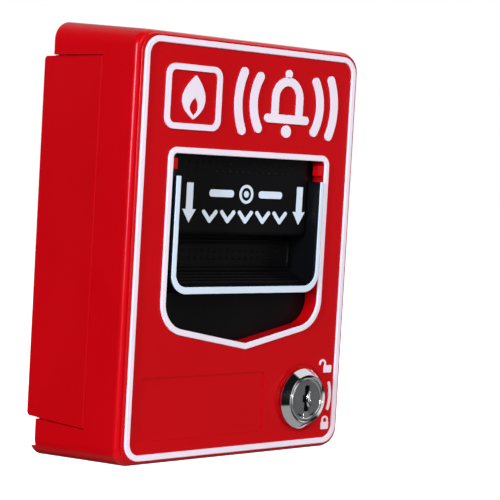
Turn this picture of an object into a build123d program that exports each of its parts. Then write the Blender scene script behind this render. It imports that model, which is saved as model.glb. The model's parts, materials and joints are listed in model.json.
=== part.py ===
"""Manual call point: push in, then pull down. Millimetres, +X right, front faces -Y, +Z up.

The origin is the middle of the rear box's mounting face. Depths are counted from the front of the
white trim, so that a depth d lies at Y = d - DEPTH.
"""
import os

from build123d import *

# Overall sizes
DEPTH = 40.8
COVER_DEPTH = 35.6
COVER_FRONT_HALF = (41.0, 57.0)
COVER_REAR_HALF = (42.1, 59.5)
COVER_CORNER = 5.0
COVER_WALL = 2.0
SHOULDER_DEPTH = 1.2
SHOULDER_ROUND = 2.1
FACE_DEPTH = 0.5
PLATEAU_HALF = (40.2, 56.3)
LIP_DEPTH = 37.7
LIP_Z = -56.7

# Rear box and the cover's side notches
BOX_HALF_WIDTH = 41.2
BOX_TOP = 49.95
BOX_BOTTOM = -48.8
BOX_FRONT_DEPTH = 15.5
BOX_EDGE_CHAMFER = 0.5
BOX_WALL = 2.0
BOX_BACK = 2.5
SIDE_RIB_Z = (-12.0, 14.0)
KNOCKOUT_POS = (16.0, 20.0)
NOTCH_DEPTH = 15.0
NOTCH_GAP = 0.25
STUB_LENGTH = 2.1
STUB_DEPTHS = (0.9, 2.9)
STUB_Z = (21.4, 24.2)
BAFFLE_DEPTHS = (33.0, 34.4)
BAFFLE_X = (-30.0, 39.4)
BAFFLE_GAP = 0.35
RAIN_LIP_X = (-38.9, -37.9)
RAIN_LIP_DEPTHS = (16.5, 31.0)
RAIN_LIP_HEIGHT = 2.0

# Wall fixings and cable entry
SCREW_SPACING = 83.3
SCREW_HOLE_R = 2.2
CABLE_POS = (-16.0, 22.0)
CABLE_R = 6.0
GROMMET_HOLE_R = 8.0

# Hinge
HINGE_X = -36.5
HINGE_DEPTH = 32.8
HINGE_PIN_R = 1.5
HINGE_CLEAR = 0.06
KNUCKLE_R = 3.2
KNUCKLE_HEIGHT = 3.4
KNUCKLE_GAP = 0.4

# Window, with its centre line at WINDOW_X
WINDOW_X = 0.45
WINDOW_HALF = 28.4
WINDOW_TOP = 25.5
WINDOW_SHOULDER = -20.0
WINDOW_TIP = (1.8, -25.6)
WINDOW_CORNER = 7.5
TRIM_WIDTH = 1.65
TUNNEL_DEPTH = 5.0
TUNNEL_WALL = 1.5

# Label recess, and the shallow ring around the lock
LABEL_POS = (-12.6, -42.15)
LABEL_SIZE = (45.2, 16.7)
LABEL_CORNER = 1.5
DIMPLE_R = 9.8
RECESS = 0.3

# Border line
BORDER_HALF = (39.3, 55.6)
BORDER_WIDTH = 1.6

# Handle
HANDLE_HALF = 27.8
HANDLE_TOP = 19.6
HANDLE_BOTTOM = -11.7
HANDLE_CORNER = 5.5
HANDLE_RIM = 2.0
HANDLE_FRONT = 0.0
OUTLINE_THICK = 0.37
FLANGE_DEPTHS = (5.3, 6.8)
FLANGE_HALF = 30.2
CAVITY_DEPTH = 10.0
HANDLE_BACK_DEPTH = 13.0
HANDLE_WALL = 1.5

# Push bar
BAR_DEPTH = 3.5
BAR_THICK = 2.0
BAR_TOP = 33.5
BAR_BOTTOM = 3.7
BAR_HALF = 25.5
BAR_CORNER = 2.0
BAR_LIP_ROUND = 1.4
PIN_R = 1.5
PIN_PLACES = ((-14.0, 17.0), (15.0, 17.0))

# Guide frame behind the window
GUIDE_DEPTHS = (7.2, 9.2)
GUIDE_HALF = 36.3
GUIDE_TOP = 39.5
GUIDE_BOTTOM = -31.5
GUIDE_OPEN_HALF = 28.3
GUIDE_OPEN_TOP = 34.0
GUIDE_OPEN_BOTTOM = -21.0
GUIDE_SCREW_HALF = 33.5
GUIDE_SCREW_Z = (36.4, -28.5)

# Circuit board
BOARD_DEPTHS = (21.0, 22.6)
BOARD_X = (-18.0, 28.0)
BOARD_Z = (-27.0, 39.0)
BOARD_SCREW_X = (-15.0, 25.0)
BOARD_SCREW_Z = (-24.5, 36.6)
TERMINAL_PITCH = 5.08
TERMINAL_COUNT = 4

# Switch
SWITCH_X = (29.9, 36.3)
SWITCH_Z = (-14.0, -4.0)
SWITCH_DEPTHS = (9.2, 29.2)
LEVER_TILT = 12.0
LEVER_LENGTH = 17.0
LEVER_PIVOT_DEPTH = 27.5

# Lock
LOCK_X = 24.2
LOCK_Z = -42.0
LOCK_BASE_R = 8.7
LOCK_RING_R = 7.2
LOCK_PROUD = 3.0
LOCK_BODY_R = 7.4
PLUG_R = 6.15
PLUG_CLEAR = 0.05
PLUG_TAIL_R = 4.6
PLUG_STEP_DEPTH = 14.5
LOCK_REAR_DEPTH = 18.5
DRIVE_SIZE = 5.4
CAM_HUB_R = 4.6
CAM_REACH = 9.0
WASHER_THICK = 0.8
CAM_DEPTHS = (19.6, 21.6)
STRIKE_DEPTHS = (17.6, 19.2)
STRIKE_THICK = 1.2
STRIKE_Z = (-46.5, -30.5)
STRIKE_SCREW_Z = -33.2
STRIKE_SCREW_DEPTHS = (22.5, 27.5)
LOCK_RELIEF = (10.0, 22.4)

# Marks, detent and trip arm
BELL_X = 12.6
MARKS_X = 1.9
ARROW_OUT = 20.7
DETENT_X = (-33.2, -29.4)
DETENT_SCREW_Z = -0.6
TRIP_Z = 4.0
TRIP_SCREW_DEPTH = 11.45
SKIRT_CUT_X = 10.5
CLIP_DEPTHS = (14.8, 15.4)
LEVER_PIVOT_Z = -3.4
SWITCH_SCREW_DEPTHS = (14.5, 24.0)
SWITCH_SCREW_Z = -11.2
LEAD_DEPTHS = (14.0, 24.0)
TERMINAL_X = -12.0
TERMINAL_Z = (4.0, 12.4)
TERMINAL_SCREW_UP = 5.2
RESISTOR_POS = (4.0, -8.0)


def at_depth(depth):
    return depth - DEPTH


def slab(profile, front, rear):
    """A profile drawn in X and Z, made solid between two depths."""
    return Pos(0, at_depth(rear), 0) * extrude(Plane.XZ * profile, rear - front)


def block(xs, depths, zs):
    """A box from its limits in X, depth and Z."""
    size = (xs[1] - xs[0], depths[1] - depths[0], zs[1] - zs[0])
    centre = ((xs[0] + xs[1]) / 2, at_depth((depths[0] + depths[1]) / 2), (zs[0] + zs[1]) / 2)
    return Pos(*centre) * Box(*size)


def rod(x, z, radius, front, rear):
    """A round bar along the depth."""
    return slab(Pos(x, z) * Circle(radius), front, rear)


def post(x, depth, radius, low, high):
    """An upright round bar."""
    return Pos(x, at_depth(depth), (low + high) / 2) * Cylinder(radius, high - low)


def cross_rod(low, high, depth, z, radius):
    """A round bar along X."""
    return Pos((low + high) / 2, at_depth(depth), z) * Rot(0, 90, 0) * Cylinder(radius, high - low)


def side_screw(face, tip, depth, z, shank_r, head_r):
    """A slotted screw along X, with its head on the left of the face at x = face."""
    body = cross_rod(face, tip, depth, z, shank_r) + cross_rod(face - 1.1, face, depth, z, head_r)
    return body - Pos(face - 1.1, at_depth(depth), z) * Box(1.1, 0.4, 2 * head_r + 1)


def polygon(points, radii):
    """A closed outline with a rounding at each corner."""
    return make_face(FilletPolyline(*points, radius=radii, close=True))


def rounded(half_width, half_height, radius):
    return RectangleRounded(2 * half_width, 2 * half_height, radius)


def window_outline(grow=0.0):
    left = WINDOW_X - WINDOW_HALF - grow
    right = WINDOW_X + WINDOW_HALF + grow
    top = WINDOW_TOP + grow
    shoulder = WINDOW_SHOULDER - 0.84 * grow
    tip = (WINDOW_TIP[0], WINDOW_TIP[1] - 1.02 * grow)
    points = [(left, top), (right, top), (right, shoulder), tip, (left, shoulder)]
    top_round = 1.2 + grow
    low_round = WINDOW_CORNER + grow
    return polygon(points, [top_round, top_round, low_round, 0.8, low_round])


def u_profile(half, bottom, corner, top):
    """The closed outline of the handle: square at the top, rounded at the bottom."""
    left = WINDOW_X - half
    right = WINDOW_X + half
    points = [(left, top), (right, top), (right, bottom), (left, bottom)]
    return polygon(points, [0, 0, corner, corner])


def screw(x, z, tip_depth, head_depth, shank_r, head_r, head_height):
    """A cross-head screw put in from the rear."""
    shank = rod(x, z, shank_r, tip_depth, head_depth)
    head = rod(x, z, head_r, head_depth, head_depth + head_height)
    arm = head_r * 1.2
    cross = Rectangle(arm, arm / 5) + Rectangle(arm / 5, arm)
    recess = slab(Pos(x, z) * cross, head_depth + head_height * 0.45, head_depth + head_height)
    return shank + head - recess


def cover_shell():
    front = SHOULDER_DEPTH
    outer = loft([
        Pos(0, at_depth(LIP_DEPTH), 0) * (Plane.XZ * rounded(*COVER_REAR_HALF, COVER_CORNER)),
        Pos(0, at_depth(front), 0) * (Plane.XZ * rounded(*COVER_FRONT_HALF, COVER_CORNER)),
    ])
    outer = fillet(outer.faces().sort_by(Axis.Y)[0].edges(), SHOULDER_ROUND)
    rear_in = [half - COVER_WALL for half in COVER_REAR_HALF]
    front_in = [half - COVER_WALL for half in COVER_FRONT_HALF]
    inner_corner = COVER_CORNER - COVER_WALL
    inner = loft([
        Pos(0, at_depth(LIP_DEPTH), 0) * (Plane.XZ * rounded(*rear_in, inner_corner)),
        Pos(0, at_depth(front + COVER_WALL), 0) * (Plane.XZ * rounded(*front_in, inner_corner)),
    ])
    plateau = slab(rounded(*PLATEAU_HALF, COVER_CORNER), FACE_DEPTH, SHOULDER_DEPTH + 1.5)
    plateau = fillet(plateau.faces().sort_by(Axis.Y)[0].edges(), 0.4)
    wide = (-60, 60)
    rear_cut = block(wide, (COVER_DEPTH, LIP_DEPTH + 1), (LIP_Z, 70))
    notch_z = (BOX_BOTTOM - NOTCH_GAP, BOX_TOP + NOTCH_GAP)
    notches = block(wide, (NOTCH_DEPTH, LIP_DEPTH + 1), notch_z)
    return outer - inner + plateau - rear_cut - notches


def hinge_ear(side):
    """The cover's knuckle above (side 1) or below (side -1) the rear box."""
    box_edge = BOX_TOP if side > 0 else BOX_BOTTOM
    near = box_edge + side * (KNUCKLE_HEIGHT + KNUCKLE_GAP)
    far = side * (COVER_REAR_HALF[1] - COVER_WALL + 0.2)
    low, high = sorted((near, far))
    ear = post(HINGE_X, HINGE_DEPTH, KNUCKLE_R, low, high)
    web_left = -COVER_REAR_HALF[0] + COVER_WALL - 0.1
    web = block((web_left, HINGE_X), (HINGE_DEPTH - 2, HINGE_DEPTH + 1.5), (low, high))
    return ear + web


def baffle(side):
    """A cross wall inside the cover that closes the space above or below the rear box."""
    box_edge = BOX_TOP if side > 0 else BOX_BOTTOM
    zs = sorted((box_edge + side * BAFFLE_GAP, side * (COVER_REAR_HALF[1] - COVER_WALL)))
    return block(BAFFLE_X, BAFFLE_DEPTHS, zs)


def front_cover():
    body = cover_shell()
    tunnel = slab(window_outline(TUNNEL_WALL), SHOULDER_DEPTH + 0.5, TUNNEL_DEPTH)
    ledge = block((-40, 40), (SHOULDER_DEPTH + COVER_WALL, 8), (WINDOW_TOP - 0.01, 40))
    body += tunnel - ledge
    body -= slab(window_outline(), -1, TUNNEL_DEPTH + 1)
    for side in (-1, 1):
        edge = WINDOW_X + side * (WINDOW_HALF + 0.5)
        inner = WINDOW_X + side * (WINDOW_HALF - STUB_LENGTH)
        body += block(sorted((edge, inner)), STUB_DEPTHS, STUB_Z)
        body += hinge_ear(side) + baffle(side)
        for z in GUIDE_SCREW_Z:
            x = WINDOW_X + side * GUIDE_SCREW_HALF
            body += rod(x, z, 2.8, SHOULDER_DEPTH + 1, GUIDE_DEPTHS[0])
            body -= rod(x, z, 1.05, 3.5, GUIDE_DEPTHS[0])
        hinge_low, hinge_high = sorted((side * 48, side * 56.6))
        body -= post(HINGE_X, HINGE_DEPTH, HINGE_PIN_R, hinge_low, hinge_high)
    label = Pos(*LABEL_POS) * RectangleRounded(*LABEL_SIZE, LABEL_CORNER)
    body -= slab(label, -1, FACE_DEPTH + RECESS)
    body -= rod(LOCK_X, LOCK_Z, DIMPLE_R, -1, FACE_DEPTH + RECESS)
    flats = Rectangle(20, 2 * LOCK_BODY_R - 1.6)
    lock_hole = Circle(LOCK_BODY_R + 0.1) & flats
    body -= slab(Pos(LOCK_X, LOCK_Z) * lock_hole, -1, 8)
    return body


def border_trim():
    ring = rounded(*BORDER_HALF, COVER_CORNER)
    inner = [half - BORDER_WIDTH for half in BORDER_HALF]
    ring -= rounded(*inner, COVER_CORNER - BORDER_WIDTH)
    return softened(slab(ring, 0, FACE_DEPTH))


def softened(solid, radius=0.25):
    """Rounds the front edges of a raised mark."""
    front = solid.faces().sort_by(Axis.Y)[0]
    return fillet(front.edges(), radius)


def window_trim():
    return softened(slab(window_outline(TRIM_WIDTH) - window_outline(), 0, FACE_DEPTH))


def stroke(*points, width=2.75):
    """A round-ended line through the given points."""
    line = Polyline(*points) if len(points) > 2 else Line(*points)
    face = trace(line, width)
    for point in (points[0], points[-1]):
        face += Pos(*point) * Circle(width / 2)
    return face


def flame_outline(x, z, height):
    """A plain teardrop flame that stands on the point (x, z)."""
    k = height / 10
    left = Spline((x, z), (x - 3.2 * k, z + 3.4 * k), (x + 0.4 * k, z + 10 * k))
    right = Spline((x + 0.4 * k, z + 10 * k), (x + 3.2 * k, z + 3.6 * k), (x, z))
    return make_face([left, right])


def arc_stroke(centre, radius, middle, half_span, width):
    """A round-ended arc."""
    arc = CenterArc(centre, radius, middle - half_span, 2 * half_span)
    face = trace(arc, width)
    for end in (arc @ 0, arc @ 1):
        face += Pos(end.X, end.Y) * Circle(width / 2)
    return face


def bell_outline(x, base, width, height):
    """A plain bell: a domed line that stands on a longer foot line, with its clapper."""
    half = width / 2
    dome_z = base + height - half
    dome = [(x - half, base), (x - half, dome_z)]
    face = stroke(*dome, width=2.4) + stroke((x + half, base), (x + half, dome_z), width=2.4)
    face += arc_stroke((x, dome_z), half, 90, 90, 2.4)
    face += stroke((x - half - 2.6, base), (x + half + 2.6, base), width=2.4)
    return face


def front_symbols():
    """A flame in a frame, and a ringing bell."""
    frame = RectangleRounded(19.5, 17.1, 3) - RectangleRounded(16.3, 13.9, 1.6)
    flame = flame_outline(-22, 34.6, 11.6) - flame_outline(-21.9, 35.6, 4.8)
    faces = [Pos(-22, 40.4) * frame, flame, bell_outline(BELL_X, 36.6, 9.4, 10.4)]
    faces.append(Pos(BELL_X, 33.2) * Circle(1.7))
    faces.append(Pos(BELL_X, 49.1) * Circle(1.2))
    for middle in (0, 180):
        for radius, half_span in ((12.9, 33), (18.6, 25)):
            faces.append(arc_stroke((BELL_X, 40.6), radius, middle, half_span, 2.6))
    return join([slab(face, 0.05, FACE_DEPTH) for face in faces])


def padlock(x, z, turned):
    """A small padlock, with its bow swung aside when it is open."""
    body = Pos(x, z) * RectangleRounded(3.0, 2.1, 0.3)
    bow_x = x - 2.1 if turned else x
    bow = arc_stroke((bow_x, z + 1.5), 1.05, 90, 90, 0.55)
    bow += stroke((bow_x + 1.05, z + 0.6), (bow_x + 1.05, z + 1.5), width=0.55)
    if not turned:
        bow += stroke((bow_x - 1.05, z + 0.6), (bow_x - 1.05, z + 1.5), width=0.55)
    return body + bow


def lock_symbols():
    """An open padlock above, a shut one below, and the arc that the key turns through."""
    opened = padlock(35.0, -34.1, True)
    shut = padlock(35.1, -50.6, False)
    arc = arc_stroke((LOCK_X, LOCK_Z), 12.3, 0, 17.5, 0.95)
    return join([slab(face, FACE_DEPTH - 0.25, FACE_DEPTH) for face in (opened, shut, arc)])


def join(solids):
    return Compound(children=list(solids))


def rear_box():
    shell = block((-BOX_HALF_WIDTH, BOX_HALF_WIDTH), (BOX_FRONT_DEPTH, DEPTH), (BOX_BOTTOM, BOX_TOP))
    shell = fillet(shell.faces().sort_by(Axis.Y)[-1].edges().filter_by(Axis.X), 1.2)
    inside_x = (-BOX_HALF_WIDTH + BOX_WALL, BOX_HALF_WIDTH - BOX_WALL)
    inside_z = (BOX_BOTTOM + BOX_WALL, BOX_TOP - BOX_WALL)
    shell -= block(inside_x, (BOX_FRONT_DEPTH - 1, DEPTH - BOX_BACK), inside_z)
    side_edges = shell.faces().sort_by(Axis.Y)[0].edges().filter_by(Axis.Z)
    outer_edges = [edge for edge in side_edges if abs(edge.center().X) > BOX_HALF_WIDTH - 0.1]
    shell = chamfer(outer_edges, BOX_EDGE_CHAMFER)
    inner_x = BOX_HALF_WIDTH - BOX_WALL
    for side in (-1, 1):
        z = side * SCREW_SPACING / 2
        shell += rod(0, z, 5.5, DEPTH - BOX_BACK - 1.5, DEPTH - BOX_BACK)
        shell -= rod(0, z, SCREW_HOLE_R, DEPTH - 8, DEPTH + 1)
        edge = BOX_TOP if side > 0 else BOX_BOTTOM
        low, high = sorted((edge - side * 0.5, edge + side * KNUCKLE_HEIGHT))
        shell += post(HINGE_X, HINGE_DEPTH, KNUCKLE_R, low, high)
        bore_low, bore_high = sorted((edge - side * 3, edge + side * 4))
        shell -= post(HINGE_X, HINGE_DEPTH, HINGE_PIN_R + HINGE_CLEAR, bore_low, bore_high)
        rain_lip = sorted((edge - side * 0.5, edge + side * RAIN_LIP_HEIGHT))
        shell += block(RAIN_LIP_X, RAIN_LIP_DEPTHS, rain_lip)
        for z in SIDE_RIB_Z:
            rib = sorted((side * inner_x, side * (inner_x - 1.0)))
            shell += block(rib, (24, DEPTH - BOX_BACK), (z - 0.8, z + 0.8))
    for depth in STRIKE_SCREW_DEPTHS:
        shell -= cross_rod(inner_x - 1, inner_x + 1.5, depth, STRIKE_SCREW_Z, 1.05)
    relief = (LOCK_X - LOCK_RELIEF[0], LOCK_X + LOCK_RELIEF[0])
    shell -= block(relief, (BOX_FRONT_DEPTH - 1, LOCK_RELIEF[1]), (BOX_BOTTOM - 1, -45))
    shell -= rod(*CABLE_POS, GROMMET_HOLE_R, DEPTH - BOX_BACK - 1, DEPTH + 1)
    knockout = Pos(*KNOCKOUT_POS) * (Circle(11) - Circle(10.3))
    return shell - slab(knockout, DEPTH - BOX_BACK - 0.1, DEPTH - BOX_BACK + 0.8)


def cable_grommet():
    back = DEPTH - BOX_BACK
    body = rod(*CABLE_POS, GROMMET_HOLE_R, back, DEPTH - 0.2)
    body += rod(*CABLE_POS, GROMMET_HOLE_R + 1.6, back - 1.6, back)
    return body - rod(*CABLE_POS, CABLE_R, back - 3, DEPTH + 1)


def strike_plate():
    """An angle plate on the box's right wall, with a tongue in front of the locked cam."""
    wall = BOX_HALF_WIDTH - BOX_WALL
    tongue = block((33.0, wall), STRIKE_DEPTHS, (STRIKE_Z[0], -35.6))
    tongue = fillet(tongue.edges().filter_by(Axis.Y).group_by(Axis.X)[0], 1.2)
    foot = block((wall - STRIKE_THICK, wall), (STRIKE_DEPTHS[0], 30.5), STRIKE_Z)
    plate = tongue + foot
    for depth in STRIKE_SCREW_DEPTHS:
        plate -= cross_rod(wall - 3, wall + 1, depth, STRIKE_SCREW_Z, 1.1)
    return plate


def strike_screws():
    wall = BOX_HALF_WIDTH - BOX_WALL
    face = wall - STRIKE_THICK
    tip = wall + 1.3
    solids = [side_screw(face, tip, depth, STRIKE_SCREW_Z, 1.0, 1.9) for depth in STRIKE_SCREW_DEPTHS]
    return join(solids)


def hinge_pins():
    solids = []
    for side in (-1, 1):
        edge = BOX_TOP if side > 0 else BOX_BOTTOM
        low, high = sorted((edge + side * 0.1, side * 56.5))
        pin = post(HINGE_X, HINGE_DEPTH, HINGE_PIN_R, low, high)
        solids.append(chamfer(pin.edges().filter_by(GeomType.CIRCLE), 0.25))
    return join(solids)


def handle_guide():
    half = GUIDE_HALF
    height = GUIDE_TOP - GUIDE_BOTTOM
    plate = Pos(WINDOW_X, (GUIDE_TOP + GUIDE_BOTTOM) / 2) * RectangleRounded(2 * half, height, 2.5)
    open_height = GUIDE_OPEN_TOP - GUIDE_OPEN_BOTTOM
    open_z = (GUIDE_OPEN_TOP + GUIDE_OPEN_BOTTOM) / 2
    plate -= Pos(WINDOW_X, open_z) * RectangleRounded(2 * GUIDE_OPEN_HALF, open_height, 1.5)
    body = slab(plate, *GUIDE_DEPTHS)
    for side in (-1, 1):
        edge = WINDOW_X + side * (FLANGE_HALF + 0.25)
        rail = sorted((edge, edge + side * 1.2))
        body += block(rail, (FLANGE_DEPTHS[0], GUIDE_DEPTHS[0]), (-20, 30))
        for z in GUIDE_SCREW_Z:
            body -= rod(WINDOW_X + side * GUIDE_SCREW_HALF, z, 1.6, 5, 12)
    for x in BOARD_SCREW_X:
        for z in BOARD_SCREW_Z:
            body += rod(x, z, 2.4, GUIDE_DEPTHS[1], BOARD_DEPTHS[0])
            body -= rod(x, z, 0.95, BOARD_DEPTHS[0] - 7, BOARD_DEPTHS[0])
    body -= block(DETENT_X, (GUIDE_DEPTHS[0] - 1, GUIDE_DEPTHS[1] + 1), (-11.5, -7.0))
    body -= rod(sum(DETENT_X) / 2, DETENT_SCREW_Z, 0.9, GUIDE_DEPTHS[0] - 1, GUIDE_DEPTHS[1] + 1)
    bracket = block((SWITCH_X[1], SWITCH_X[1] + 1.0), (GUIDE_DEPTHS[1], 27), (-14, -5))
    for depth in SWITCH_SCREW_DEPTHS:
        bracket -= cross_rod(SWITCH_X[1] - 1, SWITCH_X[1] + 2, depth, SWITCH_SCREW_Z, 1.1)
    return body + bracket


def guide_screws():
    solids = []
    for side in (-1, 1):
        for z in GUIDE_SCREW_Z:
            x = WINDOW_X + side * GUIDE_SCREW_HALF
            solids.append(screw(x, z, 4.0, GUIDE_DEPTHS[1], 1.0, 2.5, 1.6))
    return join(solids)


def pull_handle():
    outer = u_profile(HANDLE_HALF, HANDLE_BOTTOM, HANDLE_CORNER, HANDLE_TOP)
    inner_half = HANDLE_HALF - HANDLE_RIM
    inner_bottom = HANDLE_BOTTOM + HANDLE_RIM
    inner = u_profile(inner_half, inner_bottom, HANDLE_CORNER - HANDLE_RIM, 60)
    body = slab(outer - inner, HANDLE_FRONT, CAVITY_DEPTH + HANDLE_WALL)
    walls_x = (WINDOW_X - HANDLE_HALF, WINDOW_X + HANDLE_HALF)
    inner_x = (WINDOW_X - inner_half, WINDOW_X + inner_half)
    back_low = BAR_BOTTOM - 1.5
    body += block(inner_x, (CAVITY_DEPTH, CAVITY_DEPTH + HANDLE_WALL), (HANDLE_BOTTOM, back_low))
    shelf_z = (back_low - HANDLE_WALL, back_low)
    body += block(inner_x, (CAVITY_DEPTH, HANDLE_BACK_DEPTH + HANDLE_WALL), shelf_z)
    back = (HANDLE_BACK_DEPTH, HANDLE_BACK_DEPTH + HANDLE_WALL)
    body += block(walls_x, back, (back_low - HANDLE_WALL, 30))
    for side in (-1, 1):
        wall = sorted((WINDOW_X + side * inner_half, WINDOW_X + side * HANDLE_HALF))
        body += block(wall, (FLANGE_DEPTHS[0], HANDLE_BACK_DEPTH + 0.5), (back_low - HANDLE_WALL, 30))
        flange = sorted((WINDOW_X + side * inner_half, WINDOW_X + side * FLANGE_HALF))
        body += block(flange, FLANGE_DEPTHS, (-23.8, 33))
    body += floor_wedge(inner_x)
    body += block((WINDOW_X - FLANGE_HALF, SKIRT_CUT_X), FLANGE_DEPTHS, (-29.5, -11.8))
    body += block((SKIRT_CUT_X - 0.5, WINDOW_X + FLANGE_HALF), FLANGE_DEPTHS, (-23.8, -11.8))
    for x, z in PIN_PLACES:
        body -= rod(x, z, PIN_R + 0.1, 10, 18)
        body += spring_seat(x, z)
    notch_z = -8.2
    body -= block(DETENT_X, (FLANGE_DEPTHS[1] - 0.4, 8), (notch_z - 1.2, notch_z + 1.2))
    wall = WINDOW_X + HANDLE_HALF
    return body - cross_rod(wall - 1.2, wall + 1, TRIP_SCREW_DEPTH, TRIP_Z + 5.5, 0.8)


def floor_wedge(xs):
    """The floor of the finger scoop: it rises from the rim to the back of the cavity."""
    low = HANDLE_BOTTOM + HANDLE_RIM - 0.4
    points = [
        (at_depth(HANDLE_FRONT + 0.3), low),
        (at_depth(HANDLE_FRONT + 0.3), low + 0.45),
        (at_depth(CAVITY_DEPTH + 0.5), -6.0),
        (at_depth(CAVITY_DEPTH + 0.5), low),
    ]
    face = Plane.YZ * make_face(Polyline(*points, close=True))
    return Pos(xs[0], 0, 0) * extrude(face, xs[1] - xs[0])


def spring_seat(x, z):
    """A low collar on the handle's back plate that centres a spring."""
    collar = Circle(3.4) - Circle(2.9)
    return slab(Pos(x, z) * collar, HANDLE_BACK_DEPTH - 1.2, HANDLE_BACK_DEPTH + 0.2)


def handle_outline():
    outer = u_profile(HANDLE_HALF, HANDLE_BOTTOM, HANDLE_CORNER, HANDLE_TOP)
    inner = u_profile(
        HANDLE_HALF - HANDLE_RIM, HANDLE_BOTTOM + HANDLE_RIM, HANDLE_CORNER - HANDLE_RIM, 60
    )
    return slab(outer - inner, HANDLE_FRONT - OUTLINE_THICK, HANDLE_FRONT)


def push_bar():
    height = BAR_TOP - BAR_BOTTOM
    centre = (WINDOW_X, (BAR_TOP + BAR_BOTTOM) / 2)
    plate = slab(Pos(*centre) * Rectangle(2 * BAR_HALF, height), BAR_DEPTH, BAR_DEPTH + BAR_THICK)
    lip = block(
        (WINDOW_X - BAR_HALF, WINDOW_X + BAR_HALF),
        (BAR_DEPTH, BAR_DEPTH + 4.2),
        (BAR_BOTTOM, BAR_BOTTOM + 2.2),
    )
    body = plate + lip
    along = body.edges().filter_by(Axis.Y)
    low_corners = [edge for edge in along if abs(edge.center().Z - BAR_BOTTOM) < 0.01]
    body = fillet(low_corners, BAR_CORNER)
    low_front = body.edges().filter_by(Axis.X).sort_by(lambda e: e.center().Z + e.center().Y)[0]
    body = fillet(low_front, BAR_LIP_ROUND)
    for x, z in PIN_PLACES:
        boss = rod(x, z, 2.7, BAR_DEPTH + 1, BAR_DEPTH + BAR_THICK + 1.0)
        body += boss
        body -= rod(x, z, PIN_R, BAR_DEPTH + 1, 12)
    return body


def arrow_mark(x, top, low, shaft, head):
    """A plain arrow that points down."""
    neck = low + head * 0.75
    points = [
        (x - shaft / 2, top), (x + shaft / 2, top), (x + shaft / 2, neck), (x + head / 2, neck),
        (x, low), (x - head / 2, neck), (x - shaft / 2, neck),
    ]
    return make_face(Polyline(*points, close=True))


def push_marks():
    """Arrows at both ends, a button between two bars, and a row of chevrons."""
    faces = [arrow_mark(MARKS_X + s * ARROW_OUT, 17.9, 7.2, 2.3, 4.8) for s in (-1, 1)]
    faces.append(Pos(MARKS_X, 15.3) * (Circle(2.6) - Circle(1.8)))
    faces.append(Pos(MARKS_X, 15.3) * Circle(0.9))
    for side in (-1, 1):
        faces.append(Pos(MARKS_X + side * 9.2, 15.3) * RectangleRounded(9.0, 2.0, 0.9))
    for index in range(5):
        x = MARKS_X + (index - 2) * 6.6
        left_arm = stroke((x - 2.2, 10.2), (x, 7.8), width=1.2)
        faces.append(left_arm + stroke((x, 7.8), (x + 2.2, 10.2), width=1.2))
    return join([slab(face, BAR_DEPTH - 0.12, BAR_DEPTH) for face in faces])


def push_pins():
    solids = []
    for x, z in PIN_PLACES:
        pin = rod(x, z, PIN_R, BAR_DEPTH + 1, 17)
        groove = Circle(PIN_R + 1) - Circle(PIN_R - 0.35)
        solids.append(pin - slab(Pos(x, z) * groove, CLIP_DEPTHS[0], CLIP_DEPTHS[1]))
    return join(solids)


def pin_clips():
    solids = []
    for x, z in PIN_PLACES:
        ring = Circle(3.0) - Circle(PIN_R - 0.35) - Pos(0, -2) * Rectangle(1.6, 4)
        solids.append(slab(Pos(x, z) * ring, *CLIP_DEPTHS))
    return join(solids)


def push_springs():
    solids = []
    start = BAR_DEPTH + BAR_THICK + 1.0
    length = HANDLE_BACK_DEPTH - start
    for x, z in PIN_PLACES:
        turns = 4
        wire = 0.28
        path = Helix((length - 2 * wire) / turns, length - 2 * wire, 2.4)
        profile = Plane(path @ 0, z_dir=path % 0) * Circle(wire)
        coil = sweep(profile, path)
        place = Location((x, at_depth(start + wire), z), (-90, 0, 0))
        solids.append(place * coil)
    return join(solids)


def trip_arm():
    """A bent plate on the handle's side wall that reaches over the switch lever."""
    wall = WINDOW_X + HANDLE_HALF
    foot = block((wall, wall + 1.0), (9.7, 13.2), (TRIP_Z, TRIP_Z + 9))
    tab = block((wall, 34.6), (9.7, 13.2), (TRIP_Z, TRIP_Z + 1.0))
    return foot + tab - cross_rod(wall - 1, wall + 2, TRIP_SCREW_DEPTH, TRIP_Z + 5.5, 0.8)


def trip_screw():
    """Its head is on the outer face of the arm's foot."""
    wall = WINDOW_X + HANDLE_HALF
    z = TRIP_Z + 5.5
    shank = cross_rod(wall - 1.1, wall + 1.0, TRIP_SCREW_DEPTH, z, 0.75)
    head = cross_rod(wall + 1.0, wall + 1.9, TRIP_SCREW_DEPTH, z, 1.6)
    return shank + head - Pos(wall + 1.9, at_depth(TRIP_SCREW_DEPTH), z) * Box(0.8, 0.4, 4)


def micro_switch():
    body = block(SWITCH_X, SWITCH_DEPTHS, SWITCH_Z)
    body = fillet(body.edges().filter_by(Axis.X), 0.5)
    for depth in SWITCH_SCREW_DEPTHS:
        body -= cross_rod(SWITCH_X[0] - 1, SWITCH_X[1] + 1, depth, SWITCH_SCREW_Z, 1.1)
    for depth in LEAD_DEPTHS:
        body += block((32.6, 33.4), (depth - 1.2, depth + 1.2), (SWITCH_Z[0] - 2.6, SWITCH_Z[0]))
    return body


def switch_screws():
    face = SWITCH_X[0]
    tip = SWITCH_X[1] + 1.2
    solids = [side_screw(face, tip, depth, SWITCH_SCREW_Z, 1.0, 1.7) for depth in SWITCH_SCREW_DEPTHS]
    return join(solids)


def switch_button():
    x = sum(SWITCH_X) / 2
    return block((x - 1.2, x + 1.2), (21.5, 23.5), (SWITCH_Z[1], SWITCH_Z[1] + 0.2))


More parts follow.
